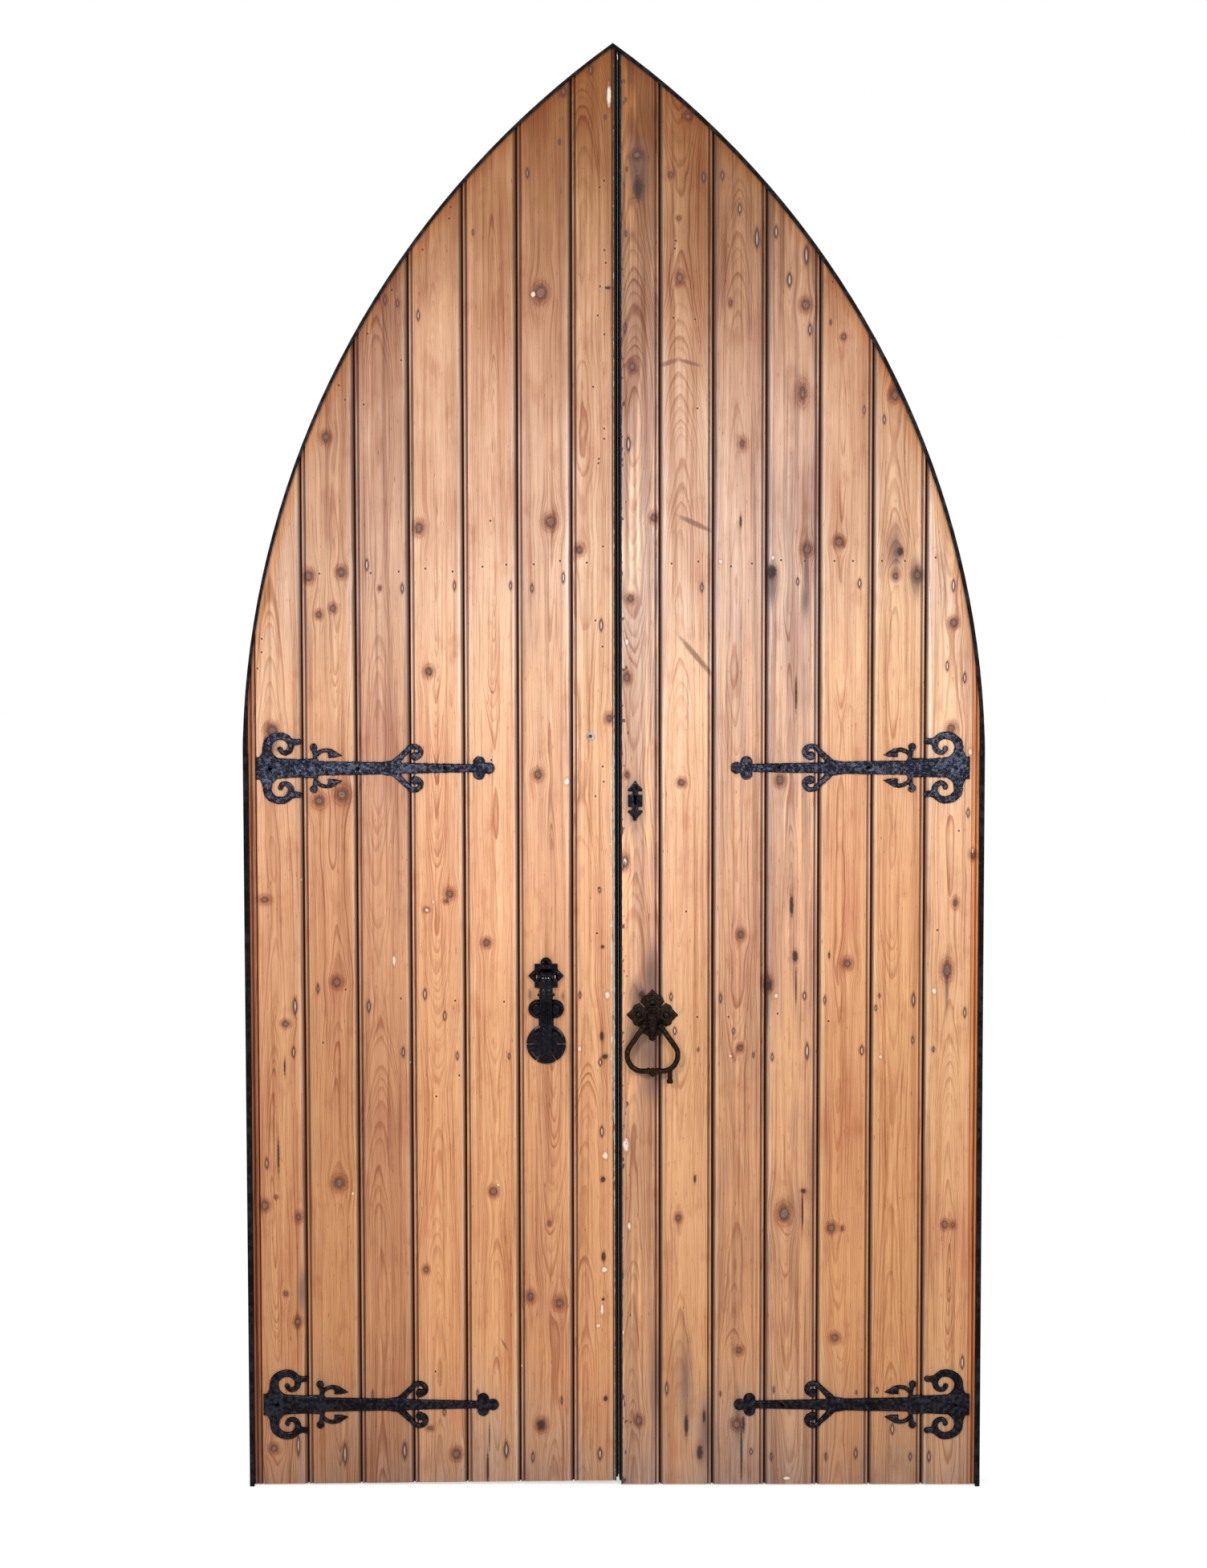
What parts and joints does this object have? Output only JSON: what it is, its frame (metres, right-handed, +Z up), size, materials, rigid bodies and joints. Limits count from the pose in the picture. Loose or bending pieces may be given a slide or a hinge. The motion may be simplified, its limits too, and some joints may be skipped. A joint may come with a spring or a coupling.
{
  "type": "arched double door",
  "caption": "Pair of boarded timber doors under a pointed arch in an iron frame, with scrolled strap hinges, knocker, ring handle, rim lock, drop bar and foot bolt.",
  "frame": {"origin": "on the floor, on the centre line of the arch, half-way through the depth", "axes": "+Z up, +X to the right seen from outside, +Y into the building, which is the way the leaves open"},
  "size_m": [1.564, 0.1226, 3.051],
  "materials": {
    "board_pine": "stripped and waxed old pine",
    "framing_pine": "sawn and waxed old pine",
    "black_paint": "satin black",
    "black_iron": "hammered and blackened",
    "worn_steel": "worn by use"
  },
  "bodies": {
    "frame": {"frame_jamb_left": "black_paint", "frame_jamb_right": "black_paint", "frame_arch_left": "black_paint", "frame_arch_right": "black_paint", "pintles_left": "black_iron", "pintles_right": "black_iron"},
    "left_leaf": {"left_arch_rail": "framing_pine", "left_band_lower": "black_iron", "left_band_upper": "black_iron", "left_board_1": "board_pine", "left_board_2": "board_pine", "left_board_3": "board_pine", "left_board_4": "board_pine", "left_board_5": "board_pine", "left_board_6": "board_pine", "left_board_7": "board_pine", "left_braces": "framing_pine", "left_front_lower": "black_iron", "left_front_upper": "black_iron", "left_hanging_stile": "framing_pine", "left_ledge_bottom": "framing_pine", "left_ledge_hinge": "framing_pine", "left_ledge_lock": "framing_pine", "left_ledge_top": "framing_pine", "left_meeting_stile": "framing_pine", "knocker_plate": "black_iron", "knocker_pin": "worn_steel", "door_viewer": "black_iron", "lock_keeper": "black_iron", "latch_keeper": "black_iron", "foot_bolt_guide": "black_iron"},
    "right_leaf": {"right_arch_rail": "framing_pine", "right_band_lower": "black_iron", "right_band_upper": "black_iron", "right_board_1": "board_pine", "right_board_2": "board_pine", "right_board_3": "board_pine", "right_board_4": "board_pine", "right_board_5": "board_pine", "right_board_6": "board_pine", "right_board_7": "board_pine", "right_braces": "framing_pine", "right_front_lower": "black_iron", "right_front_upper": "black_iron", "right_hanging_stile": "framing_pine", "right_ledge_bottom": "framing_pine", "right_ledge_hinge": "framing_pine", "right_ledge_lock": "framing_pine", "right_ledge_top": "framing_pine", "right_meeting_stile": "framing_pine", "ring_rose": "black_iron", "key_plate": "black_iron", "lock_case": "black_iron", "latch_plate": "black_iron"},
    "knocker_arm": {"knocker_arm": "black_iron"},
    "foot_bolt": {"foot_bolt": "worn_steel"},
    "handle_spindle": {"ring_spindle": "black_iron"},
    "handle_ring": {"ring_handle": "black_iron"},
    "latch_bar": {"latch_bar": "black_iron"},
    "lock_bolt": {"lock_bolt": "worn_steel"}
  },
  "joints": [
    {"name": "left_leaf_swing", "type": "hinge", "parent": "frame", "child": "left_leaf", "pos_m": [-0.763, 0.044, 0], "axis": [0, 0, 1], "range_deg": [0, 100]},
    {"name": "right_leaf_swing", "type": "hinge", "parent": "frame", "child": "right_leaf", "pos_m": [0.763, 0.044, 0], "axis": [0, 0, -1], "range_deg": [0, 100]},
    {"name": "knocker_swing", "type": "hinge", "parent": "left_leaf", "child": "knocker_arm", "pos_m": [-0.1437, -0.052, 1.103], "axis": [-1, 0, 0], "range_deg": [0, 60]},
    {"name": "foot_bolt_slide", "type": "slide", "parent": "left_leaf", "child": "foot_bolt", "axis": [0, 0, -1], "range_m": [0, 0.03]},
    {"name": "spindle_turn", "type": "hinge", "parent": "right_leaf", "child": "handle_spindle", "pos_m": [0.0815, 0, 1.0185], "axis": [0, 1, 0], "range_deg": [0, 40]},
    {"name": "ring_swing", "type": "hinge", "parent": "handle_spindle", "child": "handle_ring", "pos_m": [0.0815, -0.051, 0.9975], "axis": [-1, 0, 0], "range_deg": [0, 110]},
    {"name": "latch_bar_drop", "type": "hinge", "parent": "right_leaf", "child": "latch_bar", "pos_m": [0.165, 0.041, 1.0325], "axis": [0, -1, 0], "range_deg": [0, 100]},
    {"name": "lock_bolt_slide", "type": "slide", "parent": "right_leaf", "child": "lock_bolt", "axis": [-1, 0, 0], "range_m": [0, 0.025]}
  ]
}
